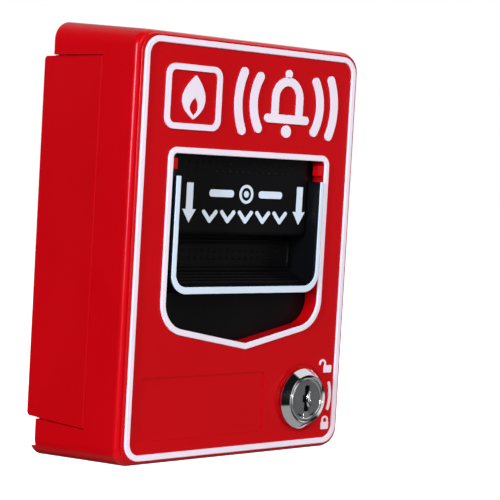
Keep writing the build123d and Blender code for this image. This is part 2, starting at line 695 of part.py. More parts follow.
def switch_lever():
    """A thin leaf, hinged at the switch's rear end and tilted up at rest."""
    x = sum(SWITCH_X) / 2
    leaf = Pos(0, -LEVER_LENGTH / 2, 0) * Box(4.2, LEVER_LENGTH, 0.4)
    knuckle = Rot(0, 90, 0) * Cylinder(0.5, 4.2)
    lever = Rot(-LEVER_TILT, 0, 0) * (leaf + knuckle)
    return Pos(x, at_depth(LEVER_PIVOT_DEPTH), LEVER_PIVOT_Z) * lever


def circuit_board():
    board = block(BOARD_X, BOARD_DEPTHS, BOARD_Z)
    board = fillet(board.edges().filter_by(Axis.Y), 1.5)
    for x in BOARD_SCREW_X:
        for z in BOARD_SCREW_Z:
            board -= rod(x, z, 1.3, 20, 24)
    return board


def board_screws():
    solids = []
    for x in BOARD_SCREW_X:
        for z in BOARD_SCREW_Z:
            solids.append(screw(x, z, BOARD_DEPTHS[0] - 6, BOARD_DEPTHS[1], 0.9, 2.1, 1.4))
    return join(solids)


def terminal_x(index):
    return TERMINAL_X + index * TERMINAL_PITCH


def terminal_block():
    left = TERMINAL_X - TERMINAL_PITCH / 2
    right = left + TERMINAL_COUNT * TERMINAL_PITCH
    front = BOARD_DEPTHS[1]
    body = block((left, right), (front, front + 9.5), TERMINAL_Z)
    low = TERMINAL_Z[0]
    body -= block((left - 1, right + 1), (front + 6.5, front + 10), (low - 1, low + 1.6))
    for index in range(TERMINAL_COUNT):
        x = terminal_x(index)
        body -= rod(x, low + TERMINAL_SCREW_UP, 1.9, front + 5, front + 10)
        body -= block((x - 1.4, x + 1.4), (front + 1.5, front + 4.3), (low - 1, low + 5))
    return body


def terminal_screws():
    solids = []
    front = BOARD_DEPTHS[1]
    for index in range(TERMINAL_COUNT):
        x = terminal_x(index)
        z = TERMINAL_Z[0] + TERMINAL_SCREW_UP
        head = rod(x, z, 1.8, front + 5, front + 8)
        slot = block((x - 2, x + 2), (front + 7.3, front + 9), (z - 0.25, z + 0.25))
        solids.append(head - slot)
    return join(solids)


def line_resistor():
    """An axial resistor that lies on the back of the board, with its bent wire ends."""
    x, z = RESISTOR_POS
    front = BOARD_DEPTHS[1]
    depth = front + 1.7
    body = cross_rod(x - 3.2, x + 3.2, depth, z, 1.2)
    for side in (-1, 1):
        cap = sorted((x + side * 2.0, x + side * 3.2))
        wire = sorted((x + side * 3.0, x + side * 5.4))
        body += cross_rod(*cap, depth, z, 1.45)
        body += cross_rod(*wire, depth, z, 0.35)
        body += rod(x + side * 5.2, z, 0.35, front, depth + 0.3)
    return body


def switch_leads():
    """Two insulated wires from the switch's tags to the edge of the board."""
    solids = []
    low = SWITCH_Z[0] - 2.6
    for index, depth in enumerate(LEAD_DEPTHS):
        z = -18.6 - index * 2.2
        y = at_depth(depth)
        y_board = at_depth(BOARD_DEPTHS[1] + 2.6)
        x_end = 24.4 - index * 1.2
        points = [(33, y, low), (33, y, z), (33, y_board, z), (x_end, y_board, z)]
        points.append((x_end, at_depth(BOARD_DEPTHS[1]), z))
        if abs(y - y_board) < 4:
            points = [(33, y, low), (33, y, z), (x_end, y, z), (x_end, at_depth(BOARD_DEPTHS[1]), z)]
        path = FilletPolyline(*points, radius=1.2)
        solids.append(sweep(Plane(path @ 0, z_dir=path % 0) * Circle(0.65), path))
    return join(solids)


def lock_body():
    flats = Rectangle(30, 2 * LOCK_BODY_R - 1.6)
    barrel = slab(Pos(LOCK_X, LOCK_Z) * (Circle(LOCK_BODY_R) & flats), FACE_DEPTH, LOCK_REAR_DEPTH)
    base = rod(LOCK_X, LOCK_Z, LOCK_BASE_R, FACE_DEPTH - 0.9, FACE_DEPTH + 0.3)
    taper = loft([
        Pos(LOCK_X, at_depth(FACE_DEPTH - 0.8), LOCK_Z) * (Plane.XZ * Circle(LOCK_BASE_R - 0.35)),
        Pos(LOCK_X, at_depth(-LOCK_PROUD + 0.5), LOCK_Z) * (Plane.XZ * Circle(LOCK_RING_R)),
    ])
    ring = rod(LOCK_X, LOCK_Z, LOCK_RING_R, -LOCK_PROUD, -LOCK_PROUD + 0.5)
    body = barrel + base + taper + ring
    body -= rod(LOCK_X, LOCK_Z, PLUG_R + PLUG_CLEAR, -LOCK_PROUD - 1, PLUG_STEP_DEPTH)
    return body - rod(LOCK_X, LOCK_Z, PLUG_TAIL_R + PLUG_CLEAR, PLUG_STEP_DEPTH - 1, 20)


def lock_washer():
    ring = Circle(9.6) - Circle(LOCK_BODY_R + 0.05)
    front = SHOULDER_DEPTH + COVER_WALL
    return slab(Pos(LOCK_X, LOCK_Z) * ring, front, front + WASHER_THICK)


def lock_nut():
    front = SHOULDER_DEPTH + COVER_WALL + WASHER_THICK
    ring = RegularPolygon(8.6, 6, major_radius=False) - Circle(LOCK_BODY_R + 0.05)
    return slab(Pos(LOCK_X, LOCK_Z) * ring, front, front + 3.0)


def lock_plug():
    front = -LOCK_PROUD + 0.35
    body = rod(LOCK_X, LOCK_Z, PLUG_R, front, PLUG_STEP_DEPTH - PLUG_CLEAR)
    body += rod(LOCK_X, LOCK_Z, PLUG_TAIL_R, PLUG_STEP_DEPTH - 1, 19.2)
    key = RectangleRounded(1.9, 7.4, 0.4) + Rectangle(3.3, 2.2)
    body -= slab(Pos(LOCK_X, LOCK_Z + 0.3) * key, front - 1, front + 9)
    body -= slab(Pos(LOCK_X, LOCK_Z - PLUG_R) * Rectangle(1.3, 1.6), front - 1, front + 0.6)
    body += slab(Pos(LOCK_X, LOCK_Z) * Rectangle(DRIVE_SIZE, DRIVE_SIZE), 19.2, CAM_DEPTHS[1])
    return body - rod(LOCK_X, LOCK_Z, 1.3, 15, 24)


def key_shutter():
    front = -LOCK_PROUD + 0.35
    xs = (LOCK_X - 0.5, LOCK_X + 1.55)
    return block(xs, (front + 0.3, front + 1.3), (LOCK_Z - 0.7, LOCK_Z + 1.3))


def lock_cam():
    arm = Pos(LOCK_X, LOCK_Z + CAM_REACH / 2) * Rectangle(7.6, CAM_REACH)
    face = Pos(LOCK_X, LOCK_Z) * Circle(CAM_HUB_R) + arm + Pos(LOCK_X, LOCK_Z + CAM_REACH) * Circle(3.8)
    face -= Pos(LOCK_X, LOCK_Z) * Rectangle(DRIVE_SIZE, DRIVE_SIZE)
    return slab(face, *CAM_DEPTHS)


def cam_screw():
    return screw(LOCK_X, LOCK_Z, 16, CAM_DEPTHS[1], 1.25, 3.9, 1.8)


def detent_spring():
    """A leaf on the guide whose nose sits over the notch in the handle's flange."""
    x = sum(DETENT_X) / 2
    leaf = block((x - 1.6, x + 1.6), (GUIDE_DEPTHS[1], GUIDE_DEPTHS[1] + 0.4), (-9.4, 2))
    nose = block((x - 1.4, x + 1.4), (7.05, GUIDE_DEPTHS[1] + 0.4), (-9.4, -8.4))
    return leaf + nose - rod(x, DETENT_SCREW_Z, 1.0, 5, 12)


def detent_screw():
    x = sum(DETENT_X) / 2
    return screw(x, DETENT_SCREW_Z, GUIDE_DEPTHS[0] + 0.4, GUIDE_DEPTHS[1] + 0.4, 0.85, 1.9, 1.2)


NODES = (
    rear_box, cable_grommet, strike_plate, strike_screws, front_cover, border_trim, window_trim,
    front_symbols, lock_symbols, hinge_pins, handle_guide, guide_screws, pull_handle,
    handle_outline, push_bar, push_marks, push_pins, pin_clips, push_springs, trip_arm,
    trip_screw, micro_switch, switch_lever, switch_button, switch_screws, circuit_board,
    board_screws, terminal_block, terminal_screws, line_resistor, switch_leads, lock_body,
    lock_washer, lock_nut, lock_plug, key_shutter, lock_cam, cam_screw, detent_spring,
    detent_screw,
)

os.makedirs("parts", exist_ok=True)
for node in NODES:
    export_step(node(), f"parts/{node.__name__}.step")
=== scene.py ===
"""Looks of the manual call point: materials, small moulded details, light and camera."""
import json
import math

import bmesh
import bpy
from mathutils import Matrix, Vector


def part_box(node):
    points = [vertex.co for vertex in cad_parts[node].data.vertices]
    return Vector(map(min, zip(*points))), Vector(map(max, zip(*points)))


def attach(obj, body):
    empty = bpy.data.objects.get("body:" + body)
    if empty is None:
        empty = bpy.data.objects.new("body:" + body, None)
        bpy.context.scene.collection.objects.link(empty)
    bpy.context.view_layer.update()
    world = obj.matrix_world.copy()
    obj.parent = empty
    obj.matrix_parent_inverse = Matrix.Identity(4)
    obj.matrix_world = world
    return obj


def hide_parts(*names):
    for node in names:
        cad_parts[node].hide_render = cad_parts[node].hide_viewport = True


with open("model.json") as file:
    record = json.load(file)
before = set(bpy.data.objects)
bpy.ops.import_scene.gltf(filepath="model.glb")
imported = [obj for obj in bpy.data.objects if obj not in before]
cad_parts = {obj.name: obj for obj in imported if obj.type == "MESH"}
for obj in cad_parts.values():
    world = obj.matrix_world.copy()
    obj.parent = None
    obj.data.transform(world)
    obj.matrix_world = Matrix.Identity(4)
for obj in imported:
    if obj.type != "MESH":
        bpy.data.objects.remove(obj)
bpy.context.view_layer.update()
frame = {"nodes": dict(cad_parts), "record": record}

MM = 0.001
nodes = frame["nodes"]

# Dimensions that the frame gives only in part, in millimetres. A depth is counted back from the
# front of the white trim, and DEPTH is that of the mounting face.
DEPTH = 40.8
WINDOW_X = 0.45
LOCK_X = 24.2
LOCK_Z = -42.0
LOCK_FRONT = -3.0
FACE = 0.5
CAVITY = 10.0
BAR_FACE = 3.5
BOARD_BACK = 22.6
HANDLE_HALF = 27.8
BOX_TOP = 49.95
BOX_BOTTOM = -48.8


# ---------------------------------------------------------------- material helpers
class Shader:
    """A node material with short calls for the nodes that are used here."""

    def __init__(self, name):
        self.material = bpy.data.materials.new(name)
        self.material.use_nodes = True
        self.tree = self.material.node_tree
        self.principled = self.tree.nodes["Principled BSDF"]
        self.coords = self.tree.nodes.new("ShaderNodeTexCoord").outputs["Object"]
        self.bumps = None

    def set(self, **values):
        for key, value in values.items():
            self.principled.inputs[key.replace("_", " ")].default_value = value
        return self

    def node(self, kind, inputs=(), **settings):
        node = self.tree.nodes.new("ShaderNode" + kind)
        for key, value in settings.items():
            setattr(node, key, value)
        for key, value in dict(inputs).items():
            if isinstance(value, bpy.types.NodeSocket):
                self.tree.links.new(value, node.inputs[key])
            else:
                node.inputs[key].default_value = value
        return node

    def link(self, output, name):
        self.tree.links.new(output, self.principled.inputs[name])
        return self

    def stretched(self, scale):
        return self.node("Mapping", {"Vector": self.coords, "Scale": scale}).outputs[0]

    def noise(self, scale, detail=4.0, roughness=0.5, vector=None):
        inputs = {
            "Vector": vector or self.coords, "Scale": scale, "Detail": detail, "Roughness": roughness
        }
        return self.node("TexNoise", inputs).outputs["Fac"]

    def cells(self, scale, vector=None):
        inputs = {"Vector": vector or self.coords, "Scale": scale}
        return self.node("TexVoronoi", inputs).outputs["Distance"]

    def spread(self, value, low, high, to_low=0.0, to_high=1.0):
        inputs = {
            "Value": value, "From Min": low, "From Max": high, "To Min": to_low, "To Max": to_high
        }
        return self.node("MapRange", inputs).outputs[0]

    def mix(self, factor, first, second):
        node = self.node("Mix", {"Factor": factor}, data_type="RGBA")
        for index, value in ((6, first), (7, second)):
            if isinstance(value, bpy.types.NodeSocket):
                self.tree.links.new(value, node.inputs[index])
            else:
                node.inputs[index].default_value = value
        return node.outputs[2]

    def math(self, operation, first, second=0.0):
        return self.node("Math", {0: first, 1: second}, operation=operation).outputs[0]

    def bump(self, height, distance, strength=1.0):
        inputs = {"Height": height, "Distance": distance, "Strength": strength}
        if self.bumps:
            inputs["Normal"] = self.bumps
        self.bumps = self.node("Bump", inputs).outputs[0]
        return self.link(self.bumps, "Normal")


def grey(value, alpha=1.0):
    return (value, value, value, alpha)


def moulded(name, dark, light, roughness=0.4, grain=0.000015, grain_scale=2600.0, scratch=0.03):
    """Moulded plastic: slow colour drift, handling smudges, a fine grain and faint rubs."""
    shader = Shader(name)
    drift = shader.spread(shader.noise(22.0, 5.0, 0.55), 0.32, 0.68)
    shader.link(shader.mix(drift, dark, light), "Base Color")
    smudge = shader.noise(48.0, 6.0, 0.6, shader.stretched((1.0, 1.0, 0.55)))
    smudge = shader.spread(smudge, 0.3, 0.72, roughness - 0.03, roughness + 0.05)
    rubs = shader.noise(260.0, 3.0, 0.5, shader.stretched((1.0, 0.15, 0.3)))
    marks = shader.math("MULTIPLY", shader.spread(rubs, 0.5, 0.75), scratch)
    shader.link(shader.math("ADD", smudge, marks), "Roughness")
    shader.bump(shader.noise(grain_scale, 2.0, 0.55), grain)
    shader.bump(shader.noise(grain_scale * 0.09, 3.0), grain * 1.2, 0.4)
    return shader


def red_plastic():
    """Gloss red with a faint flow pattern and faint rubs that show only in its roughness."""
    shader = moulded(
        "red_plastic", (0.50, 0.0009, 0.0030, 1), (0.545, 0.0013, 0.0044, 1), 0.23, 0.000006, 1900.0, 0.012
    )
    shader.set(Specular_IOR_Level=0.46, Specular_Tint=(1.0, 0.40, 0.46, 1))
    return shader


def white_trim():
    shader = moulded("white_trim", (0.80, 0.70, 0.79, 1), (0.87, 0.77, 0.86, 1), 0.34, 0.000008)
    return shader.set(Specular_IOR_Level=0.35)


def white_mark():
    shader = moulded("white_mark", (0.62, 0.70, 0.81, 1), (0.69, 0.77, 0.87, 1), 0.42, 0.00001, 3600.0)
    return shader.set(Specular_IOR_Level=0.3)


def black_plastic():
    """Satin black with the fine even texture of an eroded mould."""
    shader = moulded(
        "black_plastic", (0.0022, 0.0020, 0.0024, 1), (0.0042, 0.0039, 0.0046, 1), 0.34, 0.00002, 3200.0
    )
    shader.bump(shader.cells(2100.0), 0.00001, 0.7)
    return shader.set(Specular_IOR_Level=0.16)


def metal(name, colour, roughness, brush=(1.0, 1.0, 0.05), brush_scale=1500.0, tone=0.12, depth=0.000004):
    """Metal with a drawn direction, cloudy tarnish and fine scratches."""
    shader = Shader(name).set(Metallic=1.0)
    lines = shader.noise(brush_scale, 4.0, 0.6, shader.stretched(brush))
    tarnish = shader.spread(shader.noise(140.0, 5.0, 0.6), 0.35, 0.72)
    darker = tuple(c * (1 - tone) for c in colour[:3]) + (1,)
    shader.link(shader.mix(tarnish, colour, darker), "Base Color")
    cloud = shader.spread(shader.noise(300.0, 3.0), 0.3, 0.7, roughness * 0.85, roughness * 1.2)
    fine = shader.spread(lines, 0.3, 0.7, -0.2 * roughness, 0.2 * roughness)
    shader.link(shader.math("ADD", cloud, fine), "Roughness")
    return shader.bump(lines, depth)


def chrome():
    return metal("chrome", (0.80, 0.81, 0.83, 1), 0.10, (1.0, 0.1, 1.0), 900.0, 0.05, 0.0000012)


def plug_metal():
    """A turned face: fine rings about the lock's axis."""
    shader = Shader("plug_metal").set(Metallic=1.0)
    centre = (-LOCK_X * MM, 0.0, -LOCK_Z * MM)
    local = shader.node("Mapping", {"Vector": shader.coords, "Location": centre, "Scale": (1, 0, 1)})
    radius = shader.node("VectorMath", {0: local.outputs[0]}, operation="LENGTH").outputs["Value"]
    rings = shader.node("TexNoise", {"W": radius, "Scale": 9000.0, "Detail": 2.0}, noise_dimensions="1D")
    rings = rings.outputs["Fac"]
    stain = shader.spread(shader.noise(420.0, 5.0, 0.6), 0.35, 0.7)
    shader.link(shader.mix(stain, (0.56, 0.57, 0.60, 1), (0.45, 0.46, 0.485, 1)), "Base Color")
    shader.link(shader.spread(rings, 0.3, 0.7, 0.24, 0.38), "Roughness")
    return shader.bump(rings, 0.000004)


def steel():
    """Zinc plate with its faint crystal pattern."""
    shader = metal("steel", (0.62, 0.62, 0.60, 1), 0.30, tone=0.16)
    shader.bump(shader.cells(900.0), 0.000006, 0.5)
    return shader


def board():
    """Green solder mask over copper runs, which show as slightly raised lighter lines."""
    shader = Shader("board").set(Specular_IOR_Level=0.5)
    grid = shader.node("TexBrick", {
        "Vector": shader.node("Mapping", {
            "Vector": shader.coords, "Rotation": (math.radians(90), 0, 0)}).outputs[0],
        "Scale": 160.0, "Mortar Size": 0.012, "Mortar Smooth": 0.3, "Brick Width": 1.7, "Row Height": 0.42,
    }, offset=0.37, squash=0.6)
    runs = grid.outputs["Fac"]
    cloth = shader.spread(shader.noise(60.0, 4.0), 0.3, 0.7)
    mask = shader.mix(cloth, (0.006, 0.075, 0.028, 1), (0.012, 0.105, 0.04, 1))
    shader.link(shader.mix(runs, mask, (0.03, 0.19, 0.075, 1)), "Base Color")
    shader.link(shader.spread(shader.noise(90.0, 3.0), 0.3, 0.7, 0.22, 0.34), "Roughness")
    shader.bump(runs, 0.00003, 0.8)
    return shader.bump(shader.noise(4000.0, 2.0), 0.000006)


def rubber():
    shader = moulded("rubber", grey(0.012), grey(0.022), 0.72, 0.00004, 1500.0)
    shader.bump(shader.cells(1300.0), 0.00002, 0.6)
    return shader.set(Specular_IOR_Level=0.3)


def resistor_body():
    """Lacquer with four colour bands across its length."""
    shader = moulded("resistor_body", (0.50, 0.36, 0.20, 1), (0.60, 0.46, 0.28, 1), 0.32, 0.00001)
    base = shader.principled.inputs["Base Color"].links[0].from_socket
    along = shader.node("SeparateXYZ", {0: shader.coords}).outputs["X"]
    colour = base
    for x, band in ((2.0, (0.30, 0.08, 0.02, 1)), (3.3, (0.01, 0.01, 0.01, 1)),
                    (4.6, (0.55, 0.03, 0.02, 1)), (6.4, (0.55, 0.36, 0.06, 1))):
        distance = shader.math("ABSOLUTE", shader.math("SUBTRACT", along, x * MM))
        colour = shader.mix(shader.spread(distance, 0.00032, 0.00038), band, colour)
    return shader.link(colour, "Base Color")


LOOKS = {
    "red_plastic": red_plastic,
    "white_trim": white_trim,
    "white_mark": white_mark,
    "black_plastic": black_plastic,
    "switch_plastic": lambda: moulded("switch_plastic", grey(0.008), grey(0.015), 0.46, 0.00002, 3000.0),
    "red_button": lambda: moulded("red_button", (0.36, 0.012, 0.008, 1), (0.46, 0.02, 0.012, 1), 0.4),
    "steel": steel,
    "lever_steel": lambda: metal("lever_steel", (0.74, 0.73, 0.71, 1), 0.2, (0.05, 1.0, 1.0)),
    "chrome": chrome,
    "plug_metal": plug_metal,
    "nut_brass": lambda: metal("nut_brass", (0.72, 0.51, 0.20, 1), 0.27, tone=0.25),
    "rubber": rubber,
    "board": board,
    "terminal_plastic": lambda: moulded(
        "terminal_plastic", (0.006, 0.115, 0.04, 1), (0.012, 0.155, 0.06, 1), 0.42, 0.00002, 3000.0),
    "resistor_body": resistor_body,
    "wire_cover": lambda: moulded("wire_cover", grey(0.014), grey(0.03), 0.42, 0.00002, 3000.0),
}
SLOT_OF = {row["node"]: row["material_slot"] for row in frame["record"]["subparts"]}
MATERIALS = {name: make().material for name, make in LOOKS.items()}


def wear(obj, slot_name):
    """Gives an object one of the materials above."""
    obj.data.materials.clear()
    obj.data.materials.append(MATERIALS[slot_name])


def ease(obj, width, segments=2, angle=40):
    """Breaks the sharp edges of an object, as a mould or a tool leaves them."""
    bevel = obj.modifiers.new("eased_edges", "BEVEL")
    bevel.width = width * MM
    bevel.segments = segments
    bevel.limit_method = "ANGLE"
    bevel.angle_limit = math.radians(angle)
    bevel.use_clamp_overlap = True
    bevel.harden_normals = True


for name, obj in nodes.items():
    wear(obj, SLOT_OF[name])


# ---------------------------------------------------------------- mesh helpers
def place(x, depth, z):
    """A point in metres from millimetres and a depth behind the white trim."""
    return Vector((x, depth - DEPTH, z)) * MM


def piece(name, bm, body, slot_name, instead_of=(), smooth=40, eased=0.0):
    """Makes an object of a bmesh that moves with a body and has a slot's material."""
    bmesh.ops.recalc_face_normals(bm, faces=bm.faces)
    mesh = bpy.data.meshes.new(name)
    bm.to_mesh(mesh)
    bm.free()
    mesh.shade_smooth()
    mesh.set_sharp_from_angle(angle=math.radians(smooth))
    obj = bpy.data.objects.new(name, mesh)
    bpy.context.collection.objects.link(obj)
    obj.data.materials.append(MATERIALS[slot_name])
    if eased:
        ease(obj, eased)
    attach(obj, body)
    if instead_of:
        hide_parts(*instead_of)
    return obj


def lathe(bm, profile, x, z, steps=96, shape=None):
    """Turns points of (radius, depth) about an axis along the depth; shape may move each point."""
    rings = []
    for radius, depth in profile:
        count = steps if radius > 1e-6 else 1
        ring = []
        for index in range(count):
            turn = 2 * math.pi * index / steps
            dx, dz = radius * math.cos(turn), radius * math.sin(turn)
            if shape:
                dx, dz = shape(dx, dz, depth)
            ring.append(bm.verts.new(place(x + dx, depth, z + dz)))
        rings.append(ring)
    for first, second in zip(rings, rings[1:]):
        for index in range(steps):
            after = (index + 1) % steps
            if len(first) == 1:
                bm.faces.new((first[0], second[after], second[index]))
            elif len(second) == 1:
                bm.faces.new((first[index], first[after], second[0]))
            else:
                bm.faces.new((first[index], first[after], second[after], second[index]))


def rounded_points(x_low, x_high, z_low, z_high, radius, steps=8):
    """The outline of a rectangle with rounded corners."""
    corners = (
        (x_high - radius, z_high - radius, 0), (x_low + radius, z_high - radius, 90),
        (x_low + radius, z_low + radius, 180), (x_high - radius, z_low + radius, 270),
    )
    points = []
    for x, z, start in corners:
        for index in range(steps + 1):
            turn = math.radians(start + 90 * index / steps)
            points.append((x + radius * math.cos(turn), z + radius * math.sin(turn)))
    return points


def raised_plate(bm, points_at, depths, closed_front=True):
    """Joins outlines at several depths; points_at gives the outline for each inset."""
    loops = []
    for inset, depth in depths:
        loops.append([bm.verts.new(place(x, depth, z)) for x, z in points_at(inset)])
    for first, second in zip(loops, loops[1:]):
        count = len(first)
        for index in range(count):
            after = (index + 1) % count
            bm.faces.new((first[index], first[after], second[after], second[index]))
    bm.faces.new(loops[0])
    if closed_front:
        bm.faces.new(loops[-1])


def dome(bm, x, base, z, radius, height, steps=14, levels=4):
    """A low round dot that stands forward of the depth given as its base."""
    profile = []
    for index in range(levels + 1):
        turn = math.pi / 2 * index / levels
        profile.append((radius * math.cos(turn) if index < levels else 0.0, base - height * math.sin(turn)))
    profile.insert(0, (0.0, base + 0.05))
    profile.insert(1, (radius, base + 0.05))
    lathe(bm, profile, x, z, steps)


def rail(bm, x_low, x_high, depth, z, radius, steps=12):
    """A round-ended bar along X that stands half out of the surface at its centre."""
    loops = []
    for x, share in ((x_low, 0.0), (x_low + 0.3 * radius, 0.7), (x_low + radius, 1.0),
                     (x_high - radius, 1.0), (x_high - 0.3 * radius, 0.7), (x_high, 0.0)):
        loop = []
        for index in range(steps):
            turn = 2 * math.pi * index / steps
            r = max(radius * share, 0.02)
            loop.append(bm.verts.new(place(x, depth + r * math.cos(turn), z + r * math.sin(turn))))
        loops.append(loop)
    for first, second in zip(loops, loops[1:]):
        for index in range(steps):
            after = (index + 1) % steps
            bm.faces.new((first[index], first[after], second[after], second[index]))
    bm.faces.new(loops[0])
    bm.faces.new(loops[-1])


# ---------------------------------------------------------------- edges of the CAD nodes
for name, width in (
    ("front_cover", 0.12), ("rear_box", 0.15), ("pull_handle", 0.15), ("push_bar", 0.15),
    ("strike_plate", 0.1), ("trip_arm", 0.1), ("lock_cam", 0.15),
    ("lock_nut", 0.15), ("terminal_block", 0.15), ("handle_guide", 0.12),
):
    ease(nodes[name], width)


# ---------------------------------------------------------------- the cam lock
def d_flats(dx, dz, depth):
    """Flats above and below the threaded barrel."""
    if depth > 1.3:
        dz = max(-6.6, min(6.6, dz))
    return dx, dz


def lock_body():
    front = LOCK_FRONT
    profile = [
        (6.22, 14.4), (6.22, front + 0.42), (6.26, front + 0.30), (6.34, front + 0.24),
        (6.84, front + 0.04), (6.92, front), (6.98, front + 0.02), (7.035, front + 0.065),
    ]
    profile += [(7.1 + 0.78 * along, front + 0.15 + along) for along in (0, 0.05, 0.6, 1.2, 1.8, 1.86)]
    profile += [
        (8.57, front + 2.3), (8.58, front + 2.7), (8.58, front + 3.1),
        (8.4, front + 3.28), (8.05, front + 3.34), (7.95, FACE + 0.3), (7.4, FACE + 0.34),
    ]
    depth = 1.6
    while depth < 17.6:
        profile += [(7.4, depth), (7.02, depth + 0.5)]
        depth += 1.0
    profile += [(7.3, 18.2), (7.0, 18.5), (4.66, 18.5), (4.66, 14.5), (6.22, 14.4)]
    bm = bmesh.new()
    lathe(bm, profile, LOCK_X, LOCK_Z, 128, d_flats)
    bmesh.ops.remove_doubles(bm, verts=bm.verts, dist=1e-7)
    piece("lock_bezel", bm, "cover", "chrome", ("lock_body",), smooth=25)


def plug_details():
    face = LOCK_FRONT + 0.35
    bm = bmesh.new()
    lathe(bm, [
        (5.32, face + 0.02), (5.42, face - 0.12), (5.56, face - 0.21), (5.72, face - 0.25),
        (5.88, face - 0.20), (6.04, face - 0.13), (6.11, face - 0.03), (6.13, face + 0.25),
        (5.32, face + 0.25), (5.32, face + 0.02),
    ], LOCK_X, LOCK_Z, 128)
    bmesh.ops.remove_doubles(bm, verts=bm.verts, dist=1e-7)
    piece("plug_rim", bm, "lock_plug", "chrome", smooth=60)

    bm = bmesh.new()
    lathe(bm, [
        (0.0, face + 0.5), (2.35, face + 0.5), (2.35, face + 0.1), (2.2, face - 0.12),
        (1.85, face - 0.34), (1.3, face - 0.52), (0.75, face - 0.58), (0.58, face - 0.50),
        (0.45, face - 0.05), (0.0, face + 0.05),
    ], LOCK_X + 0.95, LOCK_Z, 64, lambda dx, dz, depth: (dx * 0.46, dz * (1.0 if abs(dz) > 0.7 else 0.9)))
    piece("key_post", bm, "lock_plug", "chrome", ("key_shutter",), smooth=50)

    bm = bmesh.new()
    for low, high, wide_low, wide_high in ((-5.62, -3.55, 1.35, 0.75),):
        points = [(-wide_low, low), (wide_low, low), (wide_high, high), (-wide_high, high)]
        outline = [(LOCK_X + x, LOCK_Z + z) for x, z in points]
        raised_plate(bm, lambda inset: outline, ((0, face + 0.3), (0, face - 0.06)))
    piece("plug_gate", bm, "lock_plug", "chrome", eased=0.05)

    # Two thin black slivers laid on the plug face beside the gate are painted shade: they stand for the dark of
    # notches that are not cut into the plug.
    bm = bmesh.new()
    for side in (-1, 1):
        loops = []
        for index in range(9):
            turn = math.radians(270 + side * (20 + 2.4 * index))
            width = 0.28 * math.sin(math.pi * (index + 1) / 10)
            radii = (4.95 - width, 4.95 + width)
            loop = []
            for radius, depth in ((radii[0], face + 0.2), (radii[0], face - 0.03),
                                  (radii[1], face - 0.03), (radii[1], face + 0.2)):
                x = LOCK_X + radius * math.cos(turn)
                loop.append(bm.verts.new(place(x, depth, LOCK_Z + radius * math.sin(turn))))
            loops.append(loop)
        for first, second in zip(loops, loops[1:]):
            for index in range(4):
                after = (index + 1) % 4
                bm.faces.new((first[index], first[after], second[after], second[index]))
        bm.faces.new(loops[0])
        bm.faces.new(loops[-1])
    piece("plug_notch_shade", bm, "lock_plug", "switch_plastic")


# ---------------------------------------------------------------- the handle's band and finger scoop
def corner_arc(x, z, radius, start, end, steps=10):
    """Points of an arc from one angle to another, in degrees."""
    turns = [math.radians(start + (end - start) * index / steps) for index in range(steps + 1)]
    return [(x + radius * math.cos(turn), z + radius * math.sin(turn)) for turn in turns]


def handle_band():
    """The white band on the handle's rim, which is a little narrower at the right."""
    left, right = WINDOW_X - HANDLE_HALF + 0.55, WINDOW_X + HANDLE_HALF
    inner_left, inner_right = WINDOW_X - HANDLE_HALF + 2.0, right - 1.15
    low, inner_low, top = -11.7, -9.85, 19.6
    outline = [(left, top)] + corner_arc(left + 5.2, low + 5.2, 5.2, 180, 270)
    outline += corner_arc(right - 5.5, low + 5.5, 5.5, 270, 360) + [(right, top), (inner_right, top)]
    outline += corner_arc(inner_right - 4.3, inner_low + 4.3, 4.3, 0, -90)
    outline += corner_arc(inner_left + 3.7, inner_low + 3.7, 3.7, 270, 180) + [(inner_left, top)]
    bm = bmesh.new()
    raised_plate(bm, lambda inset: outline, ((0, 0.0), (0, -0.37)))
    piece("handle_band", bm, "handle", "white_mark", ("handle_outline",), smooth=30, eased=0.1)


def scoop_panel():
    """The raised panel with its two rows of grip dots at the back of the finger scoop."""
    bm = bmesh.new()

    def outline(inset):
        return rounded_points(
            WINDOW_X - 25.3 + inset, WINDOW_X + 25.0 - inset, -5.35 + inset, 1.75 - inset, 1.7 - inset
        )

    raised_plate(bm, outline, (
        (0.0, CAVITY + 0.2), (0.0, CAVITY - 0.12), (0.12, CAVITY - 0.34), (0.34, CAVITY - 0.46),
        (0.62, CAVITY - 0.50),
    ))
    piece("scoop_panel", bm, "handle", "black_plastic", smooth=60)

    bm = bmesh.new()
    steps = 10
    path = outline(0.35)
    loops = []
    for index, (x, z) in enumerate(path):
        before, after = path[index - 1], path[(index + 1) % len(path)]
        across = Vector((after[1] - before[1], before[0] - after[0])).normalized() * 0.34
        loop = []
        for step in range(steps):
            turn = 2 * math.pi * step / steps
            out, rise = math.cos(turn), 0.34 * math.sin(turn)
            loop.append(bm.verts.new(place(x + across.x * out, CAVITY - 0.46 + rise, z + across.y * out)))
        loops.append(loop)
    for first, second in zip(loops, loops[1:] + loops[:1]):
        for index in range(steps):
            after = (index + 1) % steps
            bm.faces.new((first[index], first[after], second[after], second[index]))
    piece("panel_rim", bm, "handle", "black_plastic", smooth=60)

    bm = bmesh.new()
    for row in range(2):
        for index in range(19):
            x = WINDOW_X - 22.4 + 2.35 * index
            dome(bm, x, CAVITY - 0.5, -0.7 - 2.1 * row, 0.46, 0.36)
    piece("scoop_dots", bm, "handle", "black_plastic", smooth=70)


def scoop_floor():
    """Grip ribs across the sloping floor of the scoop."""
    bm = bmesh.new()
    for index in range(4):
        depth = 2.4 + 1.9 * index
        z = -9.65 + (depth - 0.3) * 3.65 / 10.2
        rail(bm, WINDOW_X - 25.2, WINDOW_X + 25.2, depth, z, 0.32)
    piece("floor_ribs", bm, "handle", "black_plastic", smooth=60)


def bar_dots():
    bm = bmesh.new()
    for row in range(2):
        for index in range(17):
            x = WINDOW_X - 19.6 + 2.45 * index
            dome(bm, x, BAR_FACE, 23.4 - 2.1 * row, 0.44, 0.34)
    piece("bar_dots", bm, "push_bar", "black_plastic", smooth=70)


